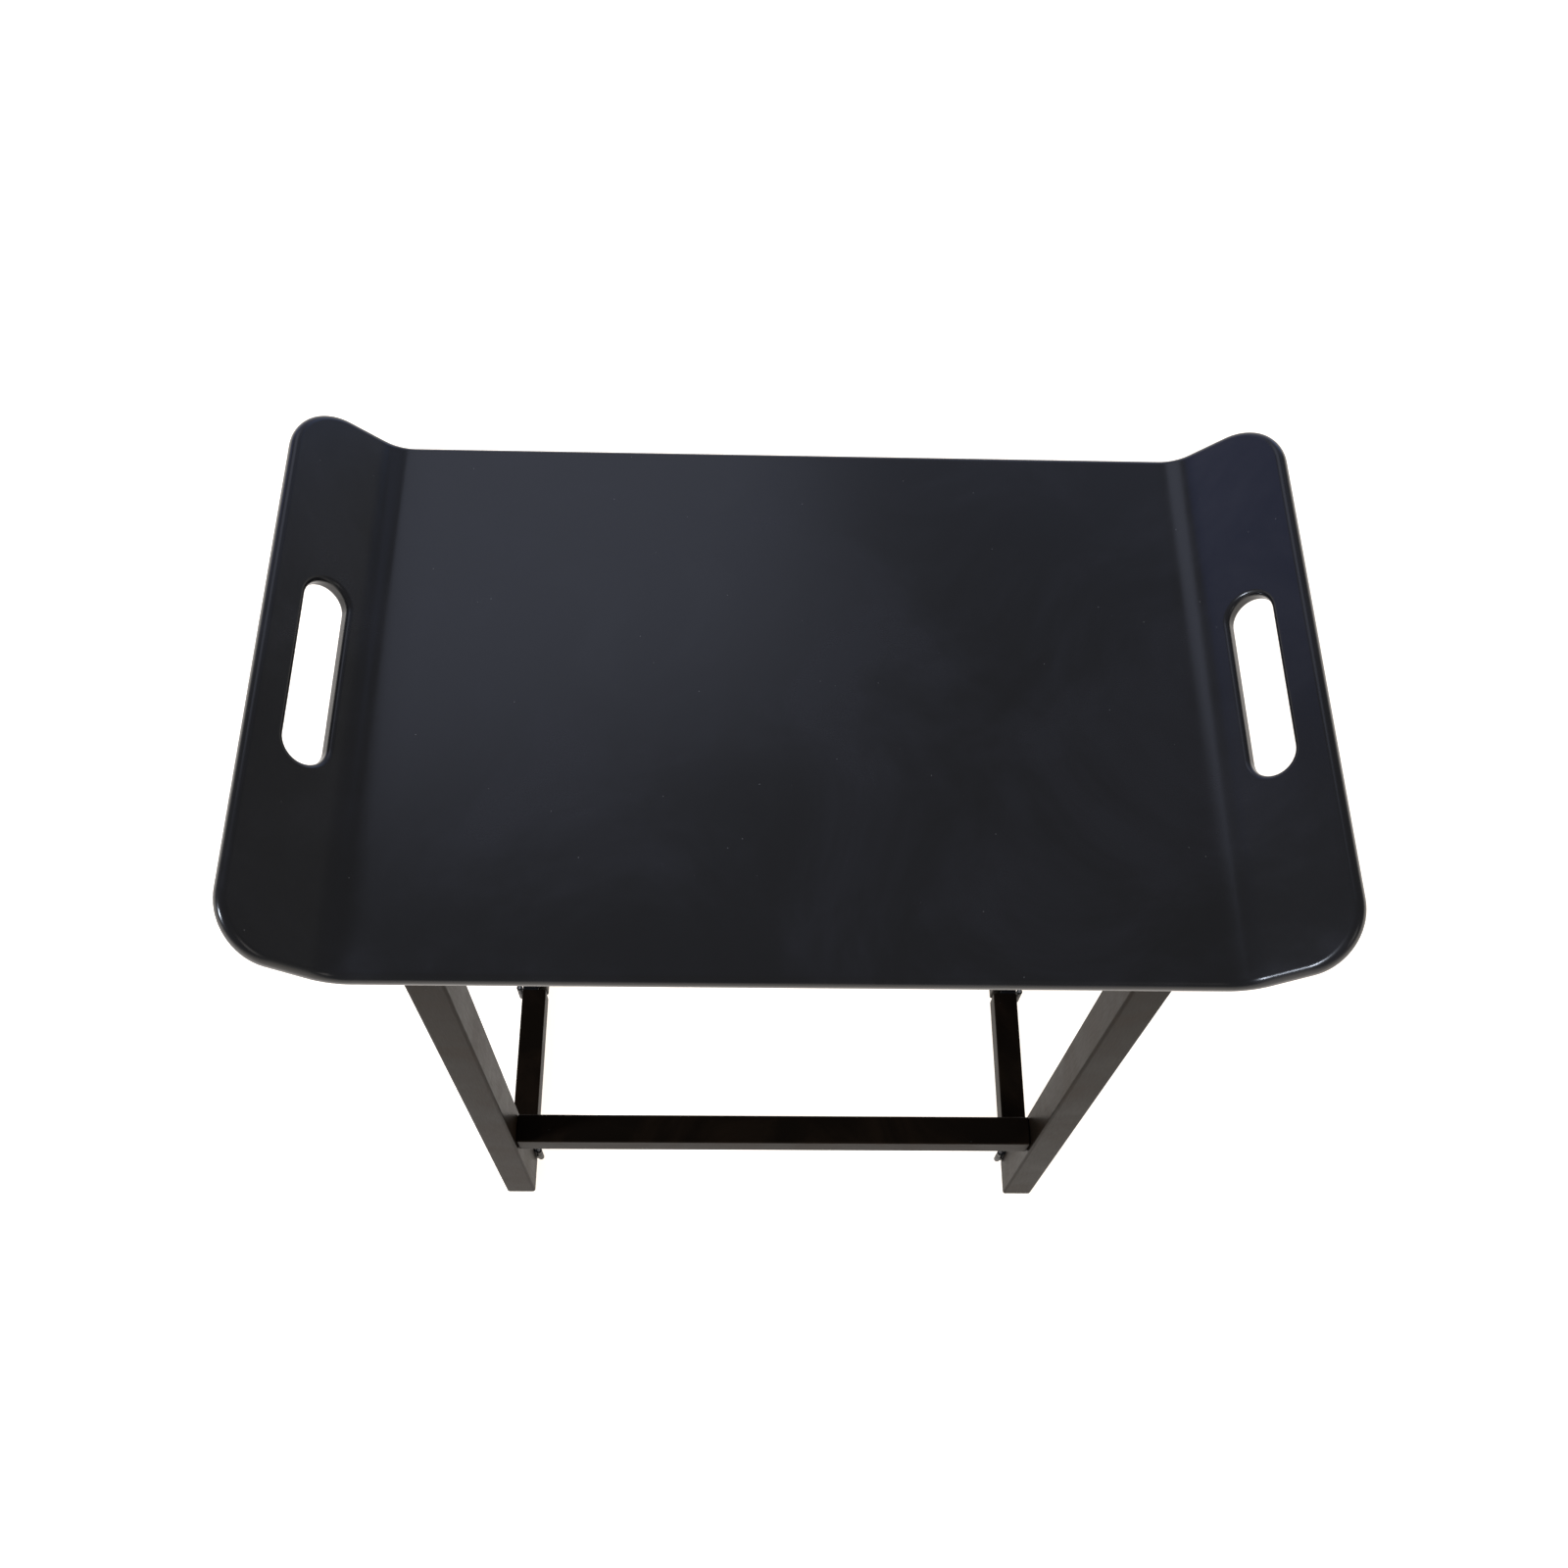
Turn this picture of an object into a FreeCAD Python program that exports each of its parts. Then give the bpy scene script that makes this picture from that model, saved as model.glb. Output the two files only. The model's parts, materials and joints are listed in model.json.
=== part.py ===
import FreeCAD, Part
import math
import os

# Folding tray table. A bent plywood tray with two raised ends lifts off a
# stand of two leg frames. At each side a floor runner and a top bar join the
# frames, hinged at both ends and at the middle, so they fold in between them.
#
# Millimetres, +Z up, -Y is the front. The origin is on the floor, under the
# middle of the tray. Pieces are made for the right front quarter (+X, -Y) and
# mirrored into the others.

# Tray
tray_width = 606.0          # over the tips of the raised ends
tray_depth = 360.0
tray_height = 527.0         # floor to the flat top
tray_thickness = 10.0
tray_edge_radius = 4.6      # rounding of the rim, above and below
wing_angle = 43.5           # slope of a raised end, degrees
wing_length = 55.0          # end of the bend to the rim's middle, along the slope
wing_corner_radius = 35.0
bend_radius = 25.0          # on the upper surface
slot_length = 120.0         # hand slot
slot_width = 28.0
slot_from_bend = 23.5       # end of the bend to the slot's middle, along the slope
slot_edge_radius = 3.2

# Leg frames
leg_outer_x = 216.0         # middle of the stand to a leg's outer face
leg_width = 23.0            # along X
leg_depth = 28.0            # along Y
leg_inset = 10.0            # tray's front edge to a leg's front face
leg_rounding = 2.0
rail_depth = 21.0
rail_rounding = 1.5
low_rail_height = 22.0
low_rail_floor_gap = 127.0
top_rail_height = 30.0
glide_thickness = 4.0
glide_margin = 1.5          # leg's side to the glide's side
glide_stub_radius = 2.5
glide_stub_length = 8.0

# Runners and top bars
link_width = 20.0           # along X
link_height = 24.0
link_rounding = 1.5
runner_floor_gap = 2.0
top_bar_drop = 0.5          # top bar below the top of the legs

# Hinges
leaf_thickness = 1.2
leaf_width = 16.0           # hinge pin to the leaf's free edge
leaf_height = 21.0
leaf_gap = 0.6              # between two leaves folded together
knuckle_radius = 2.5
knuckle_length = 7.0        # each of the two outer knuckles
knuckle_end_gap = 0.2
knuckle_side_gap = 0.3      # knuckle to the faces beside it
hinge_pin_radius = 1.2
hinge_pin_overhang = 0.4
screw_radius = 1.2
screw_head_radius = 2.4
screw_length = 9.0
screw_from_pin = 10.0
screw_spacing = 12.0
recess_width = 0.5          # cross recess in a screw's head
recess_length = 2.6
recess_depth = 0.5

# Frame joints
bolt_radius = 2.0
bolt_head_radius = 4.0
bolt_head_height = 3.0
bolt_head_sink = 0.5        # head below the leg's outer face
bolt_socket_width = 4.0     # across the flats of the hexagon
bolt_socket_depth = 2.0
bolt_rise = 5.0             # above the rail's centre line
nut_radius = 3.5
nut_length = 14.0
nut_sink = 1.0              # nut below the rail's face
nut_from_leg = 14.0
dowel_radius = 3.0
dowel_drop = 5.5            # below the rail's centre line
dowel_in_leg = 12.0
dowel_in_rail = 16.0

# Tray seat
pad_thickness = 2.0
pad_radius = 8.0
seat_gap = 0.3              # pads above the legs when the tray is in place
pin_radius = 4.0            # locating pins under the tray
pin_length = 12.0
pin_flange_radius = 7.0
pin_in_tray = 5.0
pin_spacing = 240.0
pin_hole_clearance = 0.4

# Clearances
running = 0.05              # hinge pin in its knuckles
snug = 0.05                 # screw, dowel or nut in its hole
bolt_clearance = 0.15
hole_end_gap = 0.5          # blind hole beyond the end of what it holds

# Places that follow from the sizes
half_width = tray_width / 2
half_depth = tray_depth / 2
under_tray = tray_height - tray_thickness
leg_top = under_tray - pad_thickness - seat_gap
leg_front = -half_depth + leg_inset
leg_back = leg_front + leg_depth
leg_inner_x = leg_outer_x - leg_width
leg_mid_x = leg_outer_x - leg_width / 2
frame_y = leg_front + leg_depth / 2
low_rail_z = low_rail_floor_gap + low_rail_height / 2
top_rail_z = leg_top - top_rail_height / 2
hinge_gap = 2 * leaf_thickness + leaf_gap
link_front = leg_back + hinge_gap
link_back = -hinge_gap / 2
link_outer_x = leg_inner_x + link_width
runner_z = runner_floor_gap + link_height / 2
top_bar_z = leg_top - top_bar_drop - link_height / 2
end_pin_x = leg_inner_x - knuckle_radius - knuckle_side_gap
end_pin_y = leg_back + hinge_gap / 2
mid_pin_x = link_outer_x + knuckle_radius + knuckle_side_gap
hinge_levels = (runner_z, top_bar_z)
rail_levels = (low_rail_z, top_rail_z)

along_x = FreeCAD.Vector(1, 0, 0)
along_y = FreeCAD.Vector(0, 1, 0)
along_z = FreeCAD.Vector(0, 0, 1)
origin = FreeCAD.Vector(0, 0, 0)


def point(x, y, z):
    return FreeCAD.Vector(x, y, z)


def rod(radius, length, start, direction):
    return Part.makeCylinder(radius, length, start, direction)


def block(low, high):
    size = high - low
    return Part.makeBox(size.x, size.y, size.z, low)


def bar(low, high, rounding):
    solid = block(low, high)
    return solid.makeFillet(rounding, solid.Edges)


def flip_x(shape):
    return shape.mirror(origin, along_x)


def flip_y(shape):
    return shape.mirror(origin, along_y)


def moved(shape, x, y, z):
    copy = shape.copy()
    copy.translate(point(x, y, z))
    return copy


def both_sides(solids):
    return solids + [flip_x(solid) for solid in solids]


# The tray's section is flat, bends up and goes on straight. slope and rise
# are the directions along and square to the right raised end.
angle = math.radians(wing_angle)
slope = point(math.cos(angle), 0, math.sin(angle))
rise = point(-math.sin(angle), 0, math.cos(angle))
middle_bend = bend_radius + tray_thickness / 2
bend_start = (half_width - tray_thickness / 2 - wing_length * slope.x
              - middle_bend * math.sin(angle))


def bend_point(radius, turn):
    centre_z = tray_height + bend_radius
    return point(bend_start + radius * math.sin(turn), 0, centre_z - radius * math.cos(turn))


def wing_point(distance, depth):
    """Point on the right end, from the end of the bend and below its upper face."""
    return bend_point(bend_radius, angle) + slope * distance - rise * depth


def tray_section():
    reach = wing_length + tray_thickness / 2
    lower_bend = bend_radius + tray_thickness
    upper = [bend_point(bend_radius, turn) for turn in (0, angle / 2, angle)]
    lower = [bend_point(lower_bend, turn) for turn in (0, angle / 2, angle)]
    upper_tip = wing_point(reach, 0)
    lower_tip = wing_point(reach, tray_thickness)
    left = [point(-p.x, 0, p.z) for p in (*upper, upper_tip, lower_tip, *reversed(lower))]
    edges = [Part.LineSegment(left[0], upper[0]),
             Part.Arc(*upper),
             Part.LineSegment(upper[2], upper_tip),
             Part.LineSegment(upper_tip, lower_tip),
             Part.LineSegment(lower_tip, lower[2]),
             Part.Arc(*reversed(lower)),
             Part.LineSegment(lower[0], left[7]),
             Part.Arc(left[7], left[6], left[5]),
             Part.LineSegment(left[5], left[4]),
             Part.LineSegment(left[4], left[3]),
             Part.LineSegment(left[3], left[2]),
             Part.Arc(left[2], left[1], left[0])]
    return Part.Face(Part.Wire([edge.toShape() for edge in edges]))


def corner_cutter():
    """What the rounding takes off the right end's front corner."""
    tip = wing_length + tray_thickness / 2
    start = tip - wing_corner_radius
    spare = 5.0
    above = -spare

    def at(distance, y):
        return wing_point(distance, above) + along_y * y

    edge_y = -half_depth
    centre_y = edge_y + wing_corner_radius
    diagonal = wing_corner_radius * math.sqrt(0.5)
    outline = [Part.LineSegment(at(start, edge_y), at(start, edge_y - spare)),
               Part.LineSegment(at(start, edge_y - spare), at(tip + spare, edge_y - spare)),
               Part.LineSegment(at(tip + spare, edge_y - spare), at(tip + spare, centre_y)),
               Part.LineSegment(at(tip + spare, centre_y), at(tip, centre_y)),
               Part.Arc(at(tip, centre_y), at(start + diagonal, centre_y - diagonal),
                        at(start, edge_y))]
    face = Part.Face(Part.Wire([edge.toShape() for edge in outline]))
    return face.extrude(rise * -(tray_thickness + 2 * spare))


def slot_cutter():
    spare = 5.0
    end_radius = slot_width / 2
    end_y = slot_length / 2 - end_radius
    thickness = tray_thickness + 2 * spare
    start = wing_point(slot_from_bend, -spare)
    ends = [rod(end_radius, thickness, start + along_y * y, rise * -1) for y in (-end_y, end_y)]
    corner = start - slope * end_radius - along_y * end_y
    middle = Part.makePolygon([corner, corner + slope * slot_width,
                               corner + slope * slot_width + along_y * 2 * end_y,
                               corner + along_y * 2 * end_y, corner])
    straight = Part.Face(middle).extrude(rise * -thickness)
    return straight.fuse(ends).removeSplitter()


def is_sheet(face):
    """True for the broad upper and lower faces, flat or bent."""
    if isinstance(face.Surface, Part.Cylinder):
        return abs(face.Surface.Axis.y) > 0.99
    if not isinstance(face.Surface, Part.Plane):
        return False
    normal = face.Surface.Axis
    faces_wing = max(abs(normal * rise), abs(normal.x * rise.x - normal.z * rise.z)) > 0.999
    return abs(normal.z) > 0.999 or faces_wing


def rim_edges(solid):
    """Edges where a broad face meets the rim or a slot's wall."""
    found = {}
    for face in solid.Faces:
        if is_sheet(face):
            for edge in face.Edges:
                found.setdefault(edge.hashCode(), []).append(edge)
    return [edges[0] for edges in found.values() if len(edges) == 1]


def beside_slot(edge):
    middle = edge.CenterOfMass
    across = (point(abs(middle.x), 0, middle.z) - wing_point(slot_from_bend, 0)) * slope
    return abs(middle.y) <= slot_length / 2 and abs(across) <= slot_width / 2 + 0.1


def make_tray():
    tray = tray_section().extrude(along_y * tray_depth)
    tray.translate(along_y * -half_depth)
    corner = corner_cutter()
    corners = both_sides([corner, flip_y(corner)])
    tray = tray.cut(corners)
    tray = tray.makeFillet(tray_edge_radius, rim_edges(tray))
    tray = tray.cut(both_sides([slot_cutter()]))
    slot_edges = [edge for edge in rim_edges(tray) if beside_slot(edge)]
    tray = tray.makeFillet(slot_edge_radius, slot_edges)
    depth = pin_in_tray + hole_end_gap
    for x in (-pin_spacing / 2, pin_spacing / 2):
        tray = tray.cut(rod(pin_radius + snug, depth, point(x, frame_y, under_tray), along_z))
    return tray


def make_tray_pins():
    pins = []
    for x in (-pin_spacing / 2, pin_spacing / 2):
        foot = under_tray - pad_thickness - pin_length
        length = pin_length + pad_thickness + pin_in_tray
        pin = rod(pin_radius, length, point(x, frame_y, foot), along_z)
        lead = min(pin.Edges, key=lambda edge: edge.CenterOfMass.z)
        pin = pin.makeChamfer(pin_radius / 4, [lead])
        flange = rod(pin_flange_radius, pad_thickness,
                     point(x, frame_y, under_tray - pad_thickness), along_z)
        pins.append(pin.fuse(flange).removeSplitter())
    return pins


def make_tray_pads():
    pad = rod(pad_radius, pad_thickness, point(leg_mid_x, frame_y, under_tray - pad_thickness),
              along_z)
    lower = min(pad.Edges, key=lambda edge: edge.CenterOfMass.z)
    pad = pad.makeFillet(pad_thickness / 3, [lower])
    return both_sides([pad, flip_y(pad)])


# Screws lie along Y. A screw's head is flush with the leaf's open face, and
# its point goes to -Y.
def screw_shape(gap):
    """A hinge screw grown by gap, with the leaf's back face at the origin."""
    shank = rod(screw_radius + gap, screw_length + gap * hole_end_gap / snug, origin,
                along_y * -1)
    head = Part.makeCone(screw_radius + gap, screw_head_radius + gap, leaf_thickness, origin,
                         along_y)
    return shank.fuse(head)


def make_screw():
    screw = screw_shape(0)
    half = recess_length / 2
    top = leaf_thickness
    for wide, high in ((recess_width / 2, half), (half, recess_width / 2)):
        screw = screw.cut(block(point(-wide, top - recess_depth, -high),
                                point(wide, top + recess_depth, high)))
    return screw


def screw_places():
    """Screws of one leaf, from the hinge pin."""
    return [(screw_from_pin, side * screw_spacing / 2) for side in (-1, 1)]


def make_leaf(outer):
    """The leaf at -Y of a hinge whose pin stands at the origin and which reaches to +X."""
    near = -leaf_gap / 2
    far = near - leaf_thickness
    half = leaf_height / 2
    clear_x = knuckle_radius + knuckle_side_gap
    plate = bar(point(clear_x, far, -half), point(leaf_width, near, half), leaf_thickness / 4)
    inner = half - knuckle_length
    middle = inner - knuckle_end_gap
    spans = [(-half, -inner), (inner, half)] if outer else [(-middle, middle)]
    for low, high in spans:
        arm = block(point(0, far, low), point(clear_x + leaf_thickness, near, high))
        knuckle = rod(knuckle_radius, high - low, point(0, 0, low), along_z)
        plate = plate.fuse([arm, knuckle])
    plate = plate.removeSplitter()
    plate = plate.cut(rod(hinge_pin_radius + running, leaf_height, point(0, 0, -half), along_z))
    hole = screw_shape(snug)
    for x, z in screw_places():
        plate = plate.cut(moved(hole, x, far, z))
    return plate


def make_hinge_pin():
    length = leaf_height + 2 * hinge_pin_overhang
    pin = rod(hinge_pin_radius, length, point(0, 0, -length / 2), along_z)
    rims = [edge for edge in pin.Edges if isinstance(edge.Curve, Part.Circle)]
    return pin.makeFillet(hinge_pin_overhang / 2, rims)


def end_hinge(shape, z):
    """Put a hinge piece made at -Y on the right front leg."""
    return moved(shape, end_pin_x, end_pin_y, z)


def end_hinge_link(shape, z):
    """Put a hinge piece made at -Y on the front end of the right front link."""
    return moved(flip_y(shape), end_pin_x, end_pin_y, z)


def mid_hinge(shape, z):
    """Put a hinge piece made at -Y on the middle end of the right front link."""
    return moved(flip_x(shape), mid_pin_x, 0, z)


def at_screws(shape, place):
    """One copy for each screw of one leaf at both heights, put there by place."""
    back = -leaf_gap / 2 - leaf_thickness
    return [place(moved(shape, x, back, z), level)
            for level in hinge_levels for x, z in screw_places()]


def make_leg():
    leg = bar(point(leg_inner_x, leg_front, glide_thickness),
              point(leg_outer_x, leg_back, leg_top), leg_rounding)
    holes = []
    for z in rail_levels:
        bolt_z = z + bolt_rise
        holes.append(rod(bolt_radius + bolt_clearance, leg_width,
                         point(leg_inner_x, frame_y, bolt_z), along_x))
        sink = bolt_head_height + bolt_head_sink
        holes.append(rod(bolt_head_radius + bolt_clearance, sink,
                         point(leg_outer_x - sink, frame_y, bolt_z), along_x))
        holes.append(rod(dowel_radius + snug, dowel_in_leg + hole_end_gap,
                         point(leg_inner_x, frame_y, z - dowel_drop), along_x))
    holes += at_screws(screw_shape(snug), end_hinge)
    holes.append(rod(glide_stub_radius + snug, glide_stub_length + hole_end_gap,
                     point(leg_mid_x, frame_y, glide_thickness), along_z))
    return leg.cut(holes)


def make_rail(z, height):
    front = frame_y - rail_depth / 2
    back = frame_y + rail_depth / 2
    rail = bar(point(-leg_inner_x, front, z - height / 2),
               point(leg_inner_x, back, z + height / 2), rail_rounding)
    bolt_end = nut_from_leg + nut_radius + hole_end_gap
    holes = [rod(bolt_radius + bolt_clearance, bolt_end + hole_end_gap,
                 point(leg_inner_x, frame_y, z + bolt_rise), along_x * -1),
             rod(nut_radius + snug, nut_length + nut_sink + hole_end_gap,
                 point(leg_inner_x - nut_from_leg, back, z + bolt_rise), along_y * -1),
             rod(dowel_radius + snug, dowel_in_rail + hole_end_gap,
                 point(leg_inner_x, frame_y, z - dowel_drop), along_x * -1)]
    return rail.cut(both_sides(holes))


def make_top_rail():
    rail = make_rail(top_rail_z, top_rail_height)
    depth = pin_length + hole_end_gap
    for x in (-pin_spacing / 2, pin_spacing / 2):
        rail = rail.cut(rod(pin_radius + pin_hole_clearance, depth,
                            point(x, frame_y, leg_top - depth), along_z))
    return rail


def make_bolt(z):
    seat = leg_outer_x - bolt_head_sink - bolt_head_height
    end = leg_inner_x - nut_from_leg - nut_radius - hole_end_gap
    shank = rod(bolt_radius, seat - end, point(end, frame_y, z), along_x)
    head = rod(bolt_head_radius, bolt_head_height, point(seat, frame_y, z), along_x)
    outer = max(head.Edges, key=lambda edge: edge.CenterOfMass.x)
    head = head.makeFillet(bolt_head_sink, [outer])
    corner = bolt_socket_width / math.sqrt(3)
    turns = [math.radians(60 * step) for step in range(7)]
    floor_x = seat + bolt_head_height - bolt_socket_depth
    outline = [point(floor_x, frame_y + corner * math.cos(turn), z + corner * math.sin(turn))
               for turn in turns]
    socket = Part.Face(Part.makePolygon(outline)).extrude(along_x * bolt_head_height)
    return shank.fuse(head).removeSplitter().cut(socket)


def make_nut(z):
    back = frame_y + rail_depth / 2 - nut_sink
    x = leg_inner_x - nut_from_leg
    nut = rod(nut_radius, nut_length, point(x, back, z), along_y * -1)
    bore = rod(bolt_radius + snug, 2 * nut_radius, point(x - nut_radius, frame_y, z), along_x)
    return nut.cut(bore)


def make_dowel(z):
    length = dowel_in_leg + dowel_in_rail
    dowel = rod(dowel_radius, length, point(leg_inner_x - dowel_in_rail, frame_y, z), along_x)
    ends = [edge for edge in dowel.Edges if isinstance(edge.Curve, Part.Circle)]
    return dowel.makeChamfer(dowel_radius / 5, ends)


def make_glide():
    plate = bar(point(leg_inner_x + glide_margin, leg_front + glide_margin, 0),
                point(leg_outer_x - glide_margin, leg_back - glide_margin, glide_thickness),
                glide_thickness / 4)
    stub = rod(glide_stub_radius, glide_stub_length, point(leg_mid_x, frame_y, glide_thickness),
               along_z)
    return plate.fuse(stub)


def make_link(level):
    half = link_height / 2
    link = bar(point(leg_inner_x, link_front, level - half),
               point(link_outer_x, link_back, level + half), link_rounding)
    hole = screw_shape(snug)
    return link.cut(at_screws(hole, end_hinge_link) + at_screws(hole, mid_hinge))


def save(name, solids):
    for solid in solids:
        if not solid.isValid() or len(solid.Solids) != 1:
            raise RuntimeError(name + " is not one closed solid")
    pieces = [solid.Solids[0] for solid in solids]
    shape = pieces[0] if len(pieces) == 1 else Part.makeCompound(pieces)
    shape.exportStep("parts/" + name + ".step")


def save_tray():
    save("tray", [make_tray()])
    save("tray_locating_pins", make_tray_pins())
    save("tray_pads", make_tray_pads())


def save_frame(name, turn):
    """One leg frame. turn leaves the front frame in place or mirrors it to the back."""
    leg = make_leg()
    bolts = [make_bolt(z + bolt_rise) for z in rail_levels]
    nuts = [make_nut(z + bolt_rise) for z in rail_levels]
    dowels = [make_dowel(z - dowel_drop) for z in rail_levels]
    leaves = [end_hinge(make_leaf(True), z) for z in hinge_levels]
    pins = [end_hinge(make_hinge_pin(), z) for z in hinge_levels]
    top_rail = make_top_rail() if name == "front" else make_rail(top_rail_z, top_rail_height)
    pieces = {"right_leg": [leg],
              "left_leg": [flip_x(leg)],
              "lower_rail": [make_rail(low_rail_z, low_rail_height)],
              "top_rail": [top_rail],
              "connector_bolts": both_sides(bolts),
              "barrel_nuts": both_sides(nuts),
              "dowels": both_sides(dowels),
              "foot_glides": both_sides([make_glide()]),
              "hinge_leaves": both_sides(leaves),
              "hinge_pins": both_sides(pins),
              "hinge_screws": both_sides(at_screws(make_screw(), end_hinge))}
    for piece, solids in pieces.items():
        save(name + "_" + piece, [turn(solid) for solid in solids])


def save_links(side, end, turn):
    """The runner and top bar of one quarter of the stand, with their hinge leaves."""
    in_front = end == "front"
    leaves = [end_hinge_link(make_leaf(False), z) for z in hinge_levels]
    leaves += [mid_hinge(make_leaf(in_front), z) for z in hinge_levels]
    screw = make_screw()
    screws = at_screws(screw, end_hinge_link) + at_screws(screw, mid_hinge)
    pieces = {"runner": [make_link(runner_z)],
              "top_bar": [make_link(top_bar_z)],
              "hinge_leaves": leaves,
              "hinge_screws": screws}
    if in_front:
        pieces["hinge_pins"] = [mid_hinge(make_hinge_pin(), z) for z in hinge_levels]
    for piece, solids in pieces.items():
        save(side + "_" + end + "_" + piece, [turn(solid) for solid in solids])


def as_made(shape):
    return shape


def flip_both(shape):
    return flip_x(flip_y(shape))


os.makedirs("parts", exist_ok=True)
save_tray()
save_frame("front", as_made)
save_frame("back", flip_y)
save_links("right", "front", as_made)
save_links("right", "back", flip_y)
save_links("left", "front", flip_x)
save_links("left", "back", flip_both)
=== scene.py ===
# Folding tray table: a bent plywood tray in satin black lacquer on a stand of two beech
# leg frames, joined by hinged floor runners and top bars. Sizes and places come from the
# frame, in metres. +Z is up and -Y is the front.
import bpy
import bmesh
import json
import math
from mathutils import Matrix, Vector

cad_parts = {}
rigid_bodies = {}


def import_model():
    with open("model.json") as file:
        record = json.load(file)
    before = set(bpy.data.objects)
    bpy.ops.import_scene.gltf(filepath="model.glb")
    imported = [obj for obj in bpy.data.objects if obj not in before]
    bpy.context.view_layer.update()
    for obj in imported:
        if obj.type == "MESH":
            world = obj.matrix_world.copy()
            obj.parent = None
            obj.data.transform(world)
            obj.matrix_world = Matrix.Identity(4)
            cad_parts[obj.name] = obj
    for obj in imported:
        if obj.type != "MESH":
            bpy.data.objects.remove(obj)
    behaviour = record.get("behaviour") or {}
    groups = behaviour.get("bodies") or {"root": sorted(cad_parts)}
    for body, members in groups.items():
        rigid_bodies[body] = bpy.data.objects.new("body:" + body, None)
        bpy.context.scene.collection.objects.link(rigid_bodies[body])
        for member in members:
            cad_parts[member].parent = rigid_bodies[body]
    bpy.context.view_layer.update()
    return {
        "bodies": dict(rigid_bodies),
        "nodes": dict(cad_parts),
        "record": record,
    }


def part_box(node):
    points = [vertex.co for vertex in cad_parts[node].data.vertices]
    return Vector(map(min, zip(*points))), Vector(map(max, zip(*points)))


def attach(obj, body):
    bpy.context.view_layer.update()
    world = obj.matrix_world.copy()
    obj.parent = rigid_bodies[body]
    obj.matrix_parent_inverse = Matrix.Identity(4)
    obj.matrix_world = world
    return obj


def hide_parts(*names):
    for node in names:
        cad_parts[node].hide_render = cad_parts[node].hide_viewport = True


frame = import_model()
mm = 0.001
scene = bpy.context.scene


def addNode(tree, kind, inputs=None, **settings):
    # inputs holds plain values or another node's output
    node = tree.nodes.new(kind)
    for name, value in settings.items():
        setattr(node, name, value)
    for socket, value in (inputs or {}).items():
        if isinstance(value, bpy.types.NodeSocket):
            tree.links.new(value, node.inputs[socket])
        else:
            node.inputs[socket].default_value = value
    return node


def fromHex(code):
    # sRGB hex to the linear colour that a shader reads
    parts = [int(code[at:at + 2], 16) / 255 for at in (1, 3, 5)]
    linear = [part / 12.92 if part <= 0.04045 else ((part + 0.055) / 1.055) ** 2.4 for part in parts]
    return (*linear, 1.0)


def newMaterial(name, look):
    # a Principled surface with the values that are the same all over it
    material = bpy.data.materials.new(name)
    material.use_nodes = True
    shader = material.node_tree.nodes["Principled BSDF"]
    shader.inputs["Base Color"].default_value = fromHex(look["color"])
    for socket in ("Roughness", "Metallic", "IOR", "Specular IOR Level"):
        if socket in look:
            shader.inputs[socket].default_value = look[socket]
    if "tint" in look:
        shader.inputs["Specular Tint"].default_value = fromHex(look["tint"])
    return material, material.node_tree, shader


def newTree(name, inputs, output):
    # inputs maps each label to its kind of socket
    tree = bpy.data.node_groups.new(name, "GeometryNodeTree")
    tree.is_modifier = True
    for label, kind in inputs.items():
        tree.interface.new_socket(name=label, in_out="INPUT", socket_type="NodeSocket" + kind)
    tree.interface.new_socket(name=output, in_out="OUTPUT", socket_type="NodeSocketGeometry")
    return tree, tree.nodes.new("NodeGroupInput").outputs, tree.nodes.new("NodeGroupOutput").inputs


def addPiece(name, mesh):
    piece = bpy.data.objects.new(name, mesh)
    scene.collection.objects.link(piece)
    return piece


def settle(piece):
    # the modifiers' result becomes the piece's own plain mesh
    graph = bpy.context.evaluated_depsgraph_get()
    mesh = bpy.data.meshes.new_from_object(piece.evaluated_get(graph),
                                           preserve_all_data_layers=True, depsgraph=graph)
    piece.modifiers.clear()
    piece.data = mesh


def growPiece(name, mesh, tree, values):
    piece = addPiece(name, mesh)
    modifier = piece.modifiers.new(tree.name, "NODES")
    modifier.node_group = tree
    for item in tree.interface.items_tree:
        if item.in_out == "INPUT" and item.name in values:
            modifier[item.identifier] = values[item.name]
    settle(piece)
    return piece


def writeVectors(mesh, name, vectors):
    layer = mesh.attributes.new(name, "FLOAT_VECTOR", "POINT")
    for item, vector in zip(layer.data, vectors):
        item.vector = vector


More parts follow.
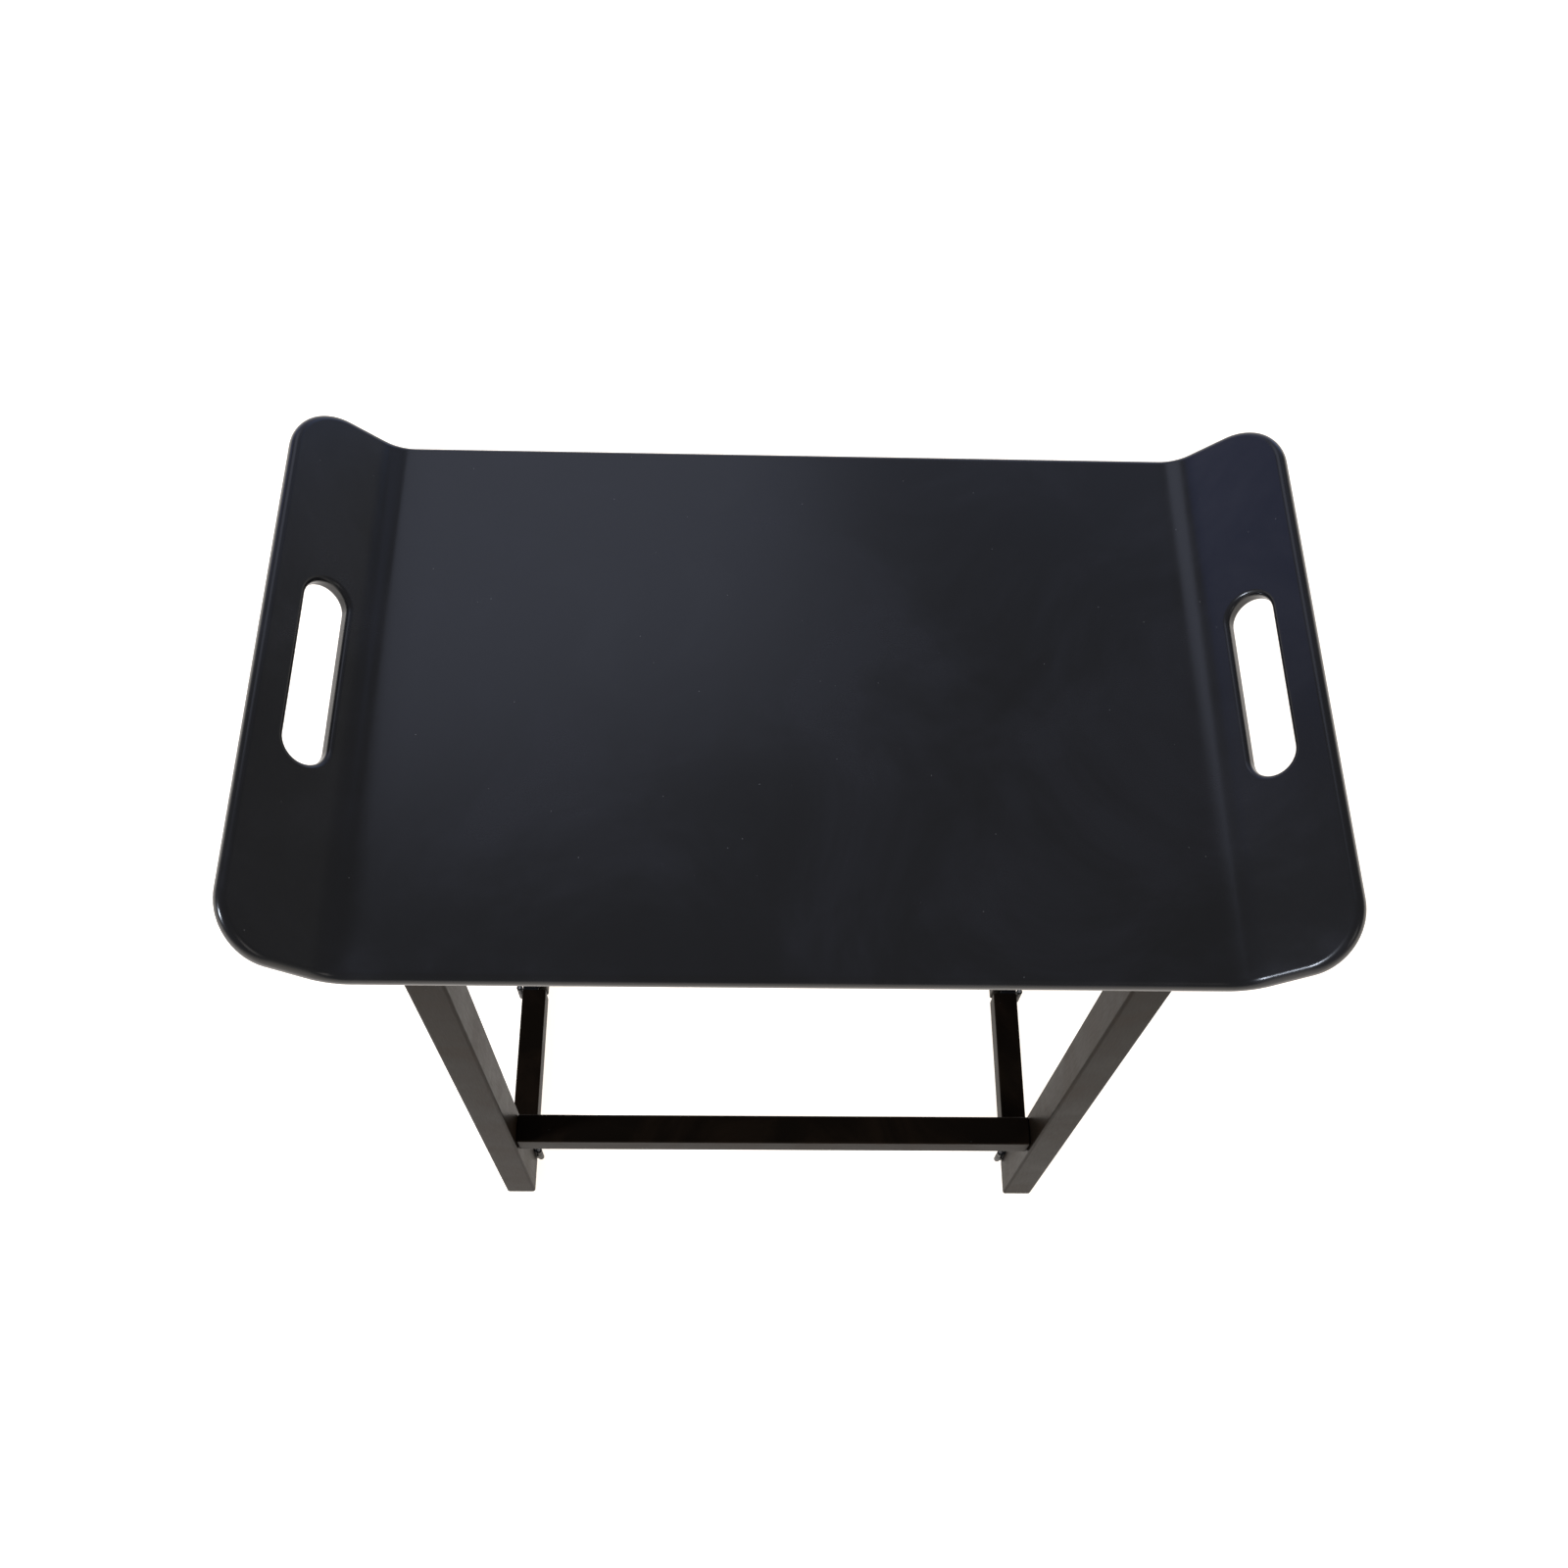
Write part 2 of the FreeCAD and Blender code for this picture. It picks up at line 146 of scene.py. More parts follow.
# what both lacquers share: detail of the noises, and the span of each that is used
coat = {"poreDetail": 3.0, "poreRoughness": 0.6, "poreSpan": (0.35, 0.75),
        "smearDetail": 5.0, "smearRoughness": 0.62, "smearTwist": 0.8,
        "glossSpan": (0.3, 0.7), "veilSpan": (0.42, 0.68), "peelDetail": 2.0,
        "speckSpacing": 9 * mm, "speckSpan": (0.03, 0.05), "speckChance": 0.72,
        "speckColor": "#6c6c6a", "bump": 0.5}
lacquerLooks = {
    # clear-coated black over birch veneer: almost closed grain, hand smears in the gloss
    "tray": {"color": "#101012", "IOR": 1.5, "veil": "#1a1a1e",
             "gloss": (0.2, 0.29), "smearSize": 130 * mm,
             "smearShift": (170 * mm, -30 * mm, 0), "poreWidth": 0.5 * mm,
             "poreLength": 14 * mm, "poreDepth": 0.001 * mm, "poreGloss": 0.006,
             "peelSize": 2.2 * mm, "peelDepth": 0.005 * mm, "dust": 0.6},
    # thinner black on planed beech: the pores show as short lines, warmer in the light
    "frame": {"color": "#120e0a", "IOR": 1.32, "veil": "#1c150f",
              "tint": "#ffd6a4", "Specular IOR Level": 0.045, "gloss": (0.34, 0.42),
              "smearSize": 60 * mm, "smearShift": (0, 0, 0), "poreWidth": 0.7 * mm,
              "poreLength": 11 * mm,
              "poreDepth": 0.02 * mm, "poreGloss": 0.03, "peelSize": 3 * mm,
              "peelDepth": 0.004 * mm, "dust": 0.2},
}


def lacqueredWood(name, look):
    material, tree, shader = newMaterial(name, look)
    grain = addNode(tree, "ShaderNodeAttribute", attribute_name="grain").outputs["Vector"]
    # the grain attribute's X runs along the wood's fibres
    pores = addNode(tree, "ShaderNodeMapping", {"Vector": grain, "Scale": (
        1 / look["poreLength"], 1 / look["poreWidth"], 1 / look["poreWidth"])})
    poreNoise = addNode(tree, "ShaderNodeTexNoise", {
        "Vector": pores.outputs[0], "Scale": 1.0, "Detail": coat["poreDetail"],
        "Roughness": coat["poreRoughness"]})
    wiped = addNode(tree, "ShaderNodeMapping", {"Vector": grain, "Location": look["smearShift"]})
    smears = addNode(tree, "ShaderNodeTexNoise", {
        "Vector": wiped.outputs[0], "Scale": 1 / look["smearSize"],
        "Detail": coat["smearDetail"], "Roughness": coat["smearRoughness"],
        "Distortion": coat["smearTwist"]})
    gloss = addNode(tree, "ShaderNodeMapRange", {
        "Value": smears.outputs["Fac"], "From Min": coat["glossSpan"][0],
        "From Max": coat["glossSpan"][1], "To Min": look["gloss"][0],
        "To Max": look["gloss"][1]})
    poreGloss = addNode(tree, "ShaderNodeMapRange", {
        "Value": poreNoise.outputs["Fac"], "From Min": coat["poreSpan"][0],
        "From Max": coat["poreSpan"][1], "To Min": -look["poreGloss"],
        "To Max": look["poreGloss"]})
    roughness = addNode(tree, "ShaderNodeMath", {0: gloss.outputs[0], 1: poreGloss.outputs[0]},
                        operation="ADD")
    tree.links.new(roughness.outputs[0], shader.inputs["Roughness"])
    # a thin milky veil where the cloth has left polish, and a few specks of dust
    cloth = addNode(tree, "ShaderNodeMapRange", {
        "Value": smears.outputs["Fac"], "From Min": coat["veilSpan"][0],
        "From Max": coat["veilSpan"][1], "To Min": 0.0, "To Max": 1.0},
        interpolation_type="SMOOTHSTEP")
    veil = addNode(tree, "ShaderNodeMix", {
        0: cloth.outputs[0], 6: fromHex(look["color"]), 7: fromHex(look["veil"])},
        data_type="RGBA")
    specks = addNode(tree, "ShaderNodeTexVoronoi", {
        "Vector": grain, "Scale": 1 / coat["speckSpacing"], "Randomness": 1.0})
    speckSize = addNode(tree, "ShaderNodeMapRange", {
        "Value": specks.outputs["Distance"], "From Min": coat["speckSpan"][0],
        "From Max": coat["speckSpan"][1], "To Min": look["dust"], "To Max": 0.0})
    chance = addNode(tree, "ShaderNodeSeparateColor", {"Color": specks.outputs["Color"]})
    rare = addNode(tree, "ShaderNodeMath", {0: chance.outputs["Red"],
                                             1: coat["speckChance"]},
                   operation="GREATER_THAN")
    speck = addNode(tree, "ShaderNodeMath", {0: speckSize.outputs[0], 1: rare.outputs[0]},
                    operation="MULTIPLY")
    dusty = addNode(tree, "ShaderNodeMix", {
        0: speck.outputs[0], 6: veil.outputs[2], 7: fromHex(coat["speckColor"])},
        data_type="RGBA")
    tree.links.new(dusty.outputs[2], shader.inputs["Base Color"])
    # the sprayed coat has a faint orange peel over the filled pores
    peelNoise = addNode(tree, "ShaderNodeTexNoise", {
        "Vector": grain, "Scale": 1 / look["peelSize"], "Detail": coat["peelDetail"]})
    peel = addNode(tree, "ShaderNodeBump", {
        "Height": peelNoise.outputs["Fac"], "Strength": coat["bump"],
        "Distance": look["peelDepth"]})
    bump = addNode(tree, "ShaderNodeBump", {
        "Height": poreNoise.outputs["Fac"], "Strength": coat["bump"],
        "Distance": look["poreDepth"], "Normal": peel.outputs["Normal"]})
    tree.links.new(bump.outputs["Normal"], shader.inputs["Normal"])
    return material


mottle = {"detail": 4.0, "span": (0.3, 0.7), "bump": 0.6}
plainLooks = {
    # rolled steel, blackened in a bath: a dull sheen with cloudy patches
    "blackenedSteel": {"color": "#2a2a2b", "second": "#1b1b1c", "Metallic": 0.85,
                       "gloss": (0.38, 0.55), "size": 6 * mm, "stretch": (1, 1, 1),
                       "depth": 0.01 * mm},
    # drawn steel wire, bright: fine turning lines round the pin
    "brightSteelPin": {"color": "#b9b8b4", "second": "#a3a29e", "Metallic": 1.0,
                       "gloss": (0.22, 0.36), "size": 0.8 * mm, "stretch": (1, 1, 6),
                       "depth": 0.004 * mm},
    # zinc plating: a pale, slightly blue metal with a spangled gloss
    "zincPlatedSteel": {"color": "#c3c6c8", "second": "#a9adb1", "Metallic": 1.0,
                        "gloss": (0.26, 0.42), "size": 1.6 * mm, "stretch": (1, 1, 1),
                        "depth": 0.006 * mm},
    # raw turned beech: pinkish brown with short darker flecks along the dowel
    "turnedBeech": {"color": "#c9a27a", "second": "#a97f58", "Metallic": 0.0,
                    "gloss": (0.55, 0.7), "size": 1.2 * mm, "stretch": (0.12, 1, 1),
                    "depth": 0.03 * mm},
    # moulded EPDM: matt black with a fine stony skin
    "mouldedRubber": {"color": "#1b1b1b", "second": "#242423", "Metallic": 0.0,
                      "gloss": (0.7, 0.85), "size": 0.9 * mm, "stretch": (1, 1, 1),
                      "depth": 0.03 * mm},
    # moulded polyethylene: soft grey-black, waxy, scuffed by the floor
    "mouldedPolyethylene": {"color": "#1f1f20", "second": "#2b2b2b", "Metallic": 0.0,
                            "gloss": (0.42, 0.6), "size": 2.5 * mm, "stretch": (1, 1, 1),
                            "depth": 0.015 * mm},
}


def mottledSurface(name):
    # two close tones and a changing gloss, in the size that the making leaves
    look = plainLooks[name]
    material, tree, shader = newMaterial(name, look)
    place = addNode(tree, "ShaderNodeTexCoord").outputs["Object"]
    scaled = addNode(tree, "ShaderNodeMapping", {"Vector": place, "Scale": look["stretch"]})
    cloud = addNode(tree, "ShaderNodeTexNoise", {
        "Vector": scaled.outputs[0], "Scale": 1 / look["size"],
        "Detail": mottle["detail"]})
    tone = addNode(tree, "ShaderNodeMix", {
        0: cloud.outputs["Fac"], 6: fromHex(look["color"]), 7: fromHex(look["second"])},
        data_type="RGBA")
    gloss = addNode(tree, "ShaderNodeMapRange", {
        "Value": cloud.outputs["Fac"], "From Min": mottle["span"][0],
        "From Max": mottle["span"][1], "To Min": look["gloss"][0],
        "To Max": look["gloss"][1]})
    bump = addNode(tree, "ShaderNodeBump", {
        "Height": cloud.outputs["Fac"], "Strength": mottle["bump"],
        "Distance": look["depth"]})
    tree.links.new(tone.outputs[2], shader.inputs["Base Color"])
    tree.links.new(gloss.outputs[0], shader.inputs["Roughness"])
    tree.links.new(bump.outputs["Normal"], shader.inputs["Normal"])
    return material


trayLacquer = lacqueredWood("blackLacquerOnBirchPlywood", lacquerLooks["tray"])
frameLacquer = lacqueredWood("blackLacquerOnBeech", lacquerLooks["frame"])
finish = {name: mottledSurface(name) for name in plainLooks}
print("materials made:", len(finish) + 2)


tray = {"thickness": 10 * mm, "edgeRound": 4.6 * mm, "wingAngle": math.radians(43.5),
        "wingLength": 55 * mm, "cornerRadius": 35 * mm, "bendRadius": 25 * mm,
        "slotLength": 120 * mm, "slotWidth": 28 * mm, "slotFromBend": 23.5 * mm,
        "slotRound": 3.2 * mm, "bendSteps": 26, "cornerSteps": 18, "roundSteps": 7,
        "flatSteps": 10, "ease": 5 * mm, "easeSteps": 3, "weld": 1e-7, "reachSlot": 1e-6}
trayLow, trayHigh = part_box("tray")


def trayPlan():
    # the board's sizes when it is laid out flat, from its middle
    half = tray["thickness"] / 2
    across = math.cos(tray["wingAngle"]) * tray["wingLength"]
    bend = (tray["bendRadius"] + half) * math.sin(tray["wingAngle"])
    bendStart = trayHigh.x - half - across - bend
    bendEnd = bendStart + tray["bendRadius"] * tray["wingAngle"]
    return {"bendStart": bendStart, "bendEnd": bendEnd, "halfDepth": trayHigh.y,
            "halfLength": bendEnd + tray["wingLength"] + half,
            "slot": bendEnd + tray["slotFromBend"]}


plan = trayPlan()


def roundedOutline(inset):
    # the board's outline, anticlockwise, moved in by inset
    radius = tray["cornerRadius"] - inset
    points = []
    for corner, (sx, sy) in enumerate(((1, 1), (-1, 1), (-1, -1), (1, -1))):
        centre = Vector((sx * (plan["halfLength"] - tray["cornerRadius"]),
                         sy * (plan["halfDepth"] - tray["cornerRadius"]), 0))
        for step in range(tray["cornerSteps"] + 1):
            turn = math.pi / 2 * (corner + step / tray["cornerSteps"])
            points.append(centre + radius * Vector((math.cos(turn), math.sin(turn), 0)))
    return points


def slotOutline(side, inset):
    # a hand slot, anticlockwise; a negative inset makes it wider
    radius = tray["slotWidth"] / 2 - inset
    reach = (tray["slotLength"] - tray["slotWidth"]) / 2
    points = []
    for end, start in ((1, 0.0), (-1, math.pi)):
        for step in range(2 * tray["cornerSteps"] + 1):
            turn = start + math.pi * step / (2 * tray["cornerSteps"])
            points.append(Vector((side * plan["slot"] + radius * math.cos(turn),
                                  end * reach + radius * math.sin(turn), 0)))
    return points


def edgeProfile(rounding):
    # from the upper face over the round to the lower face: inset and height
    steps = tray["roundSteps"]
    upper = []
    for step in range(steps + 1):
        turn = math.pi / 2 * step / steps
        upper.append((rounding * (1 - math.sin(turn)), -rounding * (1 - math.cos(turn))))
    lower = [(inset, -tray["thickness"] - height) for inset, height in reversed(upper)]
    return upper + lower


def flatBoard():
    # the board before bending, upper face at height 0
    board = bmesh.new()
    upper, lower = [], []
    rims = [(roundedOutline, tray["edgeRound"], 1)]
    rims += [(lambda inset, side=side: slotOutline(side, -inset), tray["slotRound"], -1)
             for side in (-1, 1)]
    for outline, rounding, way in rims:
        loops = []
        for inset, height in edgeProfile(rounding):
            loops.append([board.verts.new(p + Vector((0, 0, height))) for p in outline(inset)])
        for above, below in zip(loops, loops[1:]):
            for at in range(len(above)):
                after = (at + 1) % len(above)
                corners = [above[at], below[at], below[after], above[after]]
                board.faces.new(corners if way > 0 else corners[::-1])
        for loop, edges in ((loops[0], upper), (loops[-1], lower)):
            edges += [board.edges.get((loop[at - 1], loop[at])) for at in range(len(loop))]
    for edges in (upper, lower):
        bmesh.ops.triangle_fill(board, edges=edges, use_beauty=True)
    cuts = [plan["bendStart"] + (plan["bendEnd"] - plan["bendStart"]) * step / tray["bendSteps"]
            for step in range(tray["bendSteps"] + 1)]
    easing = [tray["ease"] * step / tray["easeSteps"] for step in range(1, tray["easeSteps"] + 1)]
    cuts += [plan["bendStart"] - step for step in easing]
    cuts += [plan["bendEnd"] + step for step in easing]
    cuts += [plan["slot"] + side * tray["slotWidth"] for side in (-1, 1)]
    cuts = [side * cut for cut in cuts for side in (-1, 1)]
    cuts += [plan["bendStart"] * (2 * step / tray["flatSteps"] - 1)
             for step in range(1, tray["flatSteps"])]
    for cut in cuts:
        bmesh.ops.bisect_plane(board, geom=board.verts[:] + board.edges[:] + board.faces[:],
                               plane_co=(cut, 0, 0), plane_no=(1, 0, 0), dist=tray["weld"])
    bmesh.ops.remove_doubles(board, verts=board.verts, dist=tray["weld"])
    bmesh.ops.recalc_face_normals(board, faces=board.faces)
    return board


def flatNormal(place):
    # the true direction of the flat board's surface at a point on it
    half = tray["thickness"] / 2
    corner = Vector((plan["halfLength"] - tray["cornerRadius"],
                     plan["halfDepth"] - tray["cornerRadius"], 0))
    mirrored = Vector((abs(place.x), abs(place.y), 0))
    past = mirrored - corner
    outside = Vector((max(past.x, 0), max(past.y, 0), 0))
    if outside.length > 0:
        outward = outside.normalized()
        gap = tray["cornerRadius"] - outside.length
    else:
        outward = Vector((1, 0, 0)) if past.x > past.y else Vector((0, 1, 0))
        gap = tray["cornerRadius"] - max(past.x, past.y)
    rounding = tray["edgeRound"]
    reach = (tray["slotLength"] - tray["slotWidth"]) / 2
    toSlot = Vector((plan["slot"], max(-reach, min(reach, mirrored.y)), 0)) - mirrored
    slotGap = toSlot.length - tray["slotWidth"] / 2
    if slotGap < tray["slotRound"] + tray["reachSlot"]:
        outward = toSlot.normalized()
        gap, rounding = slotGap, tray["slotRound"]
    outward = Vector((outward.x * math.copysign(1, place.x),
                      outward.y * math.copysign(1, place.y), 0))
    across = max(0, rounding - gap)
    height = place.z + half
    rise = max(0, abs(height) - (half - rounding))
    if across < tray["weld"]:
        return Vector((0, 0, math.copysign(1, height)))
    return (outward * across + Vector((0, 0, math.copysign(rise, height)))).normalized()


def easedTurn(x):
    # filler and lacquer soften both ends of the bend, so its shading starts and stops gently
    start = plan["bendStart"] - tray["ease"]
    length = plan["bendEnd"] + tray["ease"] - start
    share = min(1, max(0, (abs(x) - start) / length))
    return math.copysign(tray["wingAngle"] * share * share * (3 - 2 * share), x)


def bentTrayTree():
    # flat, then round the bend, then straight up the slope, the same at both ends
    tree, given, result = newTree("bentTray", {
        "Board": "Geometry", "Bend start": "Float", "Bend radius": "Float", "Angle": "Float",
        "Upper face height": "Float", "Finish": "Material"}, "Tray")
    place = addNode(tree, "GeometryNodeInputPosition").outputs[0]
    flat = addNode(tree, "ShaderNodeSeparateXYZ", {0: place}).outputs
    side = addNode(tree, "ShaderNodeMath", {0: flat[0]}, operation="SIGN").outputs[0]
    along = addNode(tree, "ShaderNodeMath", {0: flat[0]}, operation="ABSOLUTE").outputs[0]
    over = addNode(tree, "ShaderNodeMath", {0: along, 1: given["Bend start"]},
                   operation="SUBTRACT").outputs[0]
    over = addNode(tree, "ShaderNodeMath", {0: over, 1: 0.0}, operation="MAXIMUM").outputs[0]
    turn = addNode(tree, "ShaderNodeMath", {0: over, 1: given["Bend radius"]},
                   operation="DIVIDE").outputs[0]
    turn = addNode(tree, "ShaderNodeMath", {0: turn, 1: given["Angle"]},
                   operation="MINIMUM").outputs[0]
    bent = addNode(tree, "ShaderNodeMath", {0: turn, 1: given["Bend radius"]},
                   operation="MULTIPLY").outputs[0]
    slope = addNode(tree, "ShaderNodeMath", {0: over, 1: bent}, operation="SUBTRACT").outputs[0]
    radius = addNode(tree, "ShaderNodeMath", {0: given["Bend radius"], 1: flat[2]},
                     operation="SUBTRACT").outputs[0]
    sine = addNode(tree, "ShaderNodeMath", {0: turn}, operation="SINE").outputs[0]
    cosine = addNode(tree, "ShaderNodeMath", {0: turn}, operation="COSINE").outputs[0]
    level = addNode(tree, "ShaderNodeMath", {0: along, 1: given["Bend start"]},
                    operation="MINIMUM").outputs[0]
    reach = addNode(tree, "ShaderNodeMath", {0: radius, 1: sine, 2: level},
                    operation="MULTIPLY_ADD").outputs[0]
    reach = addNode(tree, "ShaderNodeMath", {0: slope, 1: cosine, 2: reach},
                    operation="MULTIPLY_ADD").outputs[0]
    reach = addNode(tree, "ShaderNodeMath", {0: reach, 1: side}, operation="MULTIPLY").outputs[0]
    centre = addNode(tree, "ShaderNodeMath", {0: given["Upper face height"],
                                              1: given["Bend radius"]}).outputs[0]
    drop = addNode(tree, "ShaderNodeMath", {0: radius, 1: cosine}, operation="MULTIPLY").outputs[0]
    height = addNode(tree, "ShaderNodeMath", {0: centre, 1: drop},
                     operation="SUBTRACT").outputs[0]
    height = addNode(tree, "ShaderNodeMath", {0: slope, 1: sine, 2: height},
                     operation="MULTIPLY_ADD").outputs[0]
    bentPlace = addNode(tree, "ShaderNodeCombineXYZ", {0: reach, 1: flat[1], 2: height}).outputs[0]
    moved = addNode(tree, "GeometryNodeSetPosition", {
        "Geometry": given["Board"], "Position": bentPlace}).outputs[0]
    whole = addNode(tree, "GeometryNodeRealizeInstances", {"Geometry": moved}).outputs[0]
    done = addNode(tree, "GeometryNodeSetMaterial", {"Geometry": whole,
                                                     "Material": given["Finish"]}).outputs[0]
    tree.links.new(done, result[0])
    return tree


def makeTray():
    board = flatBoard()
    mesh = bpy.data.meshes.new("trayBoard")
    board.to_mesh(mesh)
    board.free()
    flat = [vertex.co.copy() for vertex in mesh.vertices]
    writeVectors(mesh, "grain", flat)
    piece = growPiece("trayBoard", mesh, bentTrayTree(), {
        "Bend start": plan["bendStart"], "Bend radius": tray["bendRadius"],
        "Angle": tray["wingAngle"], "Upper face height": trayLow.z + tray["thickness"],
        "Finish": trayLacquer})
    normals = [Matrix.Rotation(-easedTurn(place.x), 3, "Y") @ flatNormal(place)
               for place in flat]
    piece.data.shade_smooth()
    piece.data.normals_split_custom_set_from_vertices(normals)
    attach(piece, "tray")
    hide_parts("tray")


makeTray()
print("tray bent and rounded")


wood = {"legRound": 2.0 * mm, "barRound": 1.5 * mm, "roundSteps": 4, "holeSides": 40,
        "boltRadius": 4.15 * mm, "boltDepth": 3.5 * mm, "boltRise": 5 * mm,
        "nutRadius": 3.55 * mm, "nutDepth": 15.5 * mm, "nutFromLeg": 14 * mm,
        "pinRadius": 4.4 * mm, "pinDepth": 12.5 * mm, "pinFlange": 7 * mm,
        "holeRound": 0.35 * mm, "holeSpare": 1 * mm, "sharpAngle": math.radians(38),
        "grainStep": 0.731, "grainSpan": (3, 5)}


def plainHole(cutter, place, direction, radius, depth):
    # a hole with a small rounding where it meets the wood's face
    spare = wood["holeSpare"]
    flare = wood["holeRound"]
    rings = ((spare, radius + flare), (0, radius + flare), (-flare, radius), (-depth, radius))
    turn = Vector((0, 0, 1)).rotation_difference(direction).to_matrix()
    loops = []
    for height, size in rings:
        loop = []
        for step in range(wood["holeSides"]):
            angle = 2 * math.pi * step / wood["holeSides"]
            local = Vector((size * math.cos(angle), size * math.sin(angle), height))
            loop.append(cutter.verts.new(place + turn @ local))
        loops.append(loop)
    for above, below in zip(loops, loops[1:]):
        for at in range(wood["holeSides"]):
            after = (at + 1) % wood["holeSides"]
            cutter.faces.new((above[after], above[at], below[at], below[after]))
    cutter.faces.new(loops[0])
    cutter.faces.new(loops[-1][::-1])


def legHoles(cutter, low, high, railLevels):
    # the outer face has a sunk seat for each connector bolt
    outer = high.x if high.x > -low.x else low.x
    outward = Vector((math.copysign(1, outer), 0, 0))
    for level in railLevels:
        plainHole(cutter, Vector((outer, (low.y + high.y) / 2, level + wood["boltRise"])),
                  outward, wood["boltRadius"], wood["boltDepth"])


def railHoles(cutter, low, high, pinPlaces):
    # barrel nuts go in from the inner side, locating pins from above
    inward = Vector((0, -math.copysign(1, low.y), 0))
    inner = high.y if low.y < 0 else low.y
    level = (low.z + high.z) / 2 + wood["boltRise"]
    for x in (low.x + wood["nutFromLeg"], high.x - wood["nutFromLeg"]):
        plainHole(cutter, Vector((x, inner, level)), inward, wood["nutRadius"], wood["nutDepth"])
    for x in pinPlaces:
        plainHole(cutter, Vector((x, (low.y + high.y) / 2, high.z)), Vector((0, 0, 1)),
                  wood["pinRadius"], wood["pinDepth"])


def woodBar(name, node, rounding, along, cutHoles=None):
    # along is the axis of the wood's fibres, 0 for X, 1 for Y and 2 for Z
    low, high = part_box(node)
    bar = bmesh.new()
    bmesh.ops.create_cube(bar, size=1)
    for vertex in bar.verts:
        vertex.co = Vector([(low[i] + high[i]) / 2 + vertex.co[i] * (high[i] - low[i])
                            for i in range(3)])
    bmesh.ops.bevel(bar, geom=bar.edges[:], offset=rounding, segments=wood["roundSteps"],
                    profile=0.5, affect="EDGES")
    mesh = bpy.data.meshes.new(name)
    bar.to_mesh(mesh)
    bar.free()
    piece = addPiece(name, mesh)
    mesh.materials.append(frameLacquer)
    if cutHoles:
        cutter = bmesh.new()
        cutHoles(cutter, low, high)
        bmesh.ops.recalc_face_normals(cutter, faces=cutter.faces)
        cutMesh = bpy.data.meshes.new("holes")
        cutter.to_mesh(cutMesh)
        cutter.free()
        holes = addPiece("holes", cutMesh)
        drill = piece.modifiers.new("drill", "BOOLEAN")
        drill.operation = "DIFFERENCE"
        drill.solver = "EXACT"
        drill.object = holes
        settle(piece)
        bpy.data.objects.remove(holes)
    piece.data.shade_smooth()
    piece.data.set_sharp_from_angle(angle=wood["sharpAngle"])
    even = piece.modifiers.new("even", "WEIGHTED_NORMAL")
    even.keep_sharp = True
    settle(piece)
    order = [along, (along + 1) % 3, (along + 2) % 3]
    # each bar is cut from another piece of wood
    step = wood["grainStep"] * sum(ord(letter) for letter in node)
    shift = Vector((step % wood["grainSpan"][0], step % wood["grainSpan"][1], 0))
    writeVectors(piece.data, "grain", [
        Vector([vertex.co[i] for i in order]) + shift for vertex in piece.data.vertices])
    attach(piece, bodyOf[node])
    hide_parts(node)


bodyOf = {node: body for body, nodes in frame["record"]["behaviour"]["bodies"].items()
          for node in nodes}
pinLow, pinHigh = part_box("tray_locating_pins")
pinSpots = (pinLow.x + wood["pinFlange"], pinHigh.x - wood["pinFlange"])


def middleOf(node):
    low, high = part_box(node)
    return (low + high) / 2


for end in ("front", "back"):
    rails = {rail: end + "_" + rail for rail in ("lower_rail", "top_rail")}
    levels = [middleOf(node).z for node in rails.values()]
    for side in ("right", "left"):
        woodBar(end + side.title() + "Leg", f"{end}_{side}_leg", wood["legRound"], 2,
                lambda cutter, low, high: legHoles(cutter, low, high, levels))
        for link in ("runner", "top_bar"):
            woodBar(side + end.title() + link.title().replace("_", ""),
                    f"{side}_{end}_{link}", wood["barRound"], 1)
    for rail, node in rails.items():
        spots = pinSpots if node == "front_top_rail" else ()
        woodBar(end + rail.title().replace("_", ""), node, wood["barRound"], 0,
                lambda cutter, low, high: railHoles(cutter, low, high, spots))
print("legs, rails, runners and top bars made")


screw = {"headRadius": 2.4 * mm, "headHeight": 1.2 * mm, "shankRadius": 1.2 * mm,
         "shankLength": 9 * mm, "recessLength": 2.6 * mm, "recessWidth": 0.55 * mm,
         "recessDepth": 0.7 * mm, "tipRadius": 0.3 * mm, "fromPin": 10 * mm,
         "spacing": 12 * mm, "leafGap": 0.6 * mm, "headSides": 28, "shankSides": 14,
         "seed": 4}
bolt = {"headRadius": 4 * mm, "headHeight": 3 * mm, "headRound": 0.5 * mm,
        "socketWidth": 4 * mm, "socketDepth": 2 * mm, "shankRadius": 2 * mm,
        "shankLength": 40 * mm, "sink": 0.5 * mm, "headSides": 40, "shankSides": 20,
        "seed": 9}
fastenerSharp = math.radians(35)


def placeFasteners(tree, points, fastener, seed, finishInput, result):
    # one on each point, facing its way and turned by chance about its own axis
    facing = addNode(tree, "GeometryNodeInputNamedAttribute", {"Name": "facing"},
                     data_type="FLOAT_VECTOR").outputs[0]
    aimed = addNode(tree, "FunctionNodeAlignRotationToVector", {"Vector": facing},
                    axis="Z").outputs[0]
    chance = addNode(tree, "FunctionNodeRandomValue", {"Max": (0, 0, 2 * math.pi), "Seed": seed},
                     data_type="FLOAT_VECTOR").outputs[0]
    spin = addNode(tree, "FunctionNodeEulerToRotation", {0: chance}).outputs[0]
    turned = addNode(tree, "FunctionNodeRotateRotation", {"Rotation": aimed, "Rotate By": spin},
                     rotation_space="LOCAL").outputs[0]
    placed = addNode(tree, "GeometryNodeInstanceOnPoints", {
        "Points": points, "Instance": fastener, "Rotation": turned}).outputs[0]
    whole = addNode(tree, "GeometryNodeRealizeInstances", {"Geometry": placed}).outputs[0]
    done = addNode(tree, "GeometryNodeSetMaterial", {"Geometry": whole,
                                                     "Material": finishInput}).outputs[0]
    tree.links.new(done, result[0])


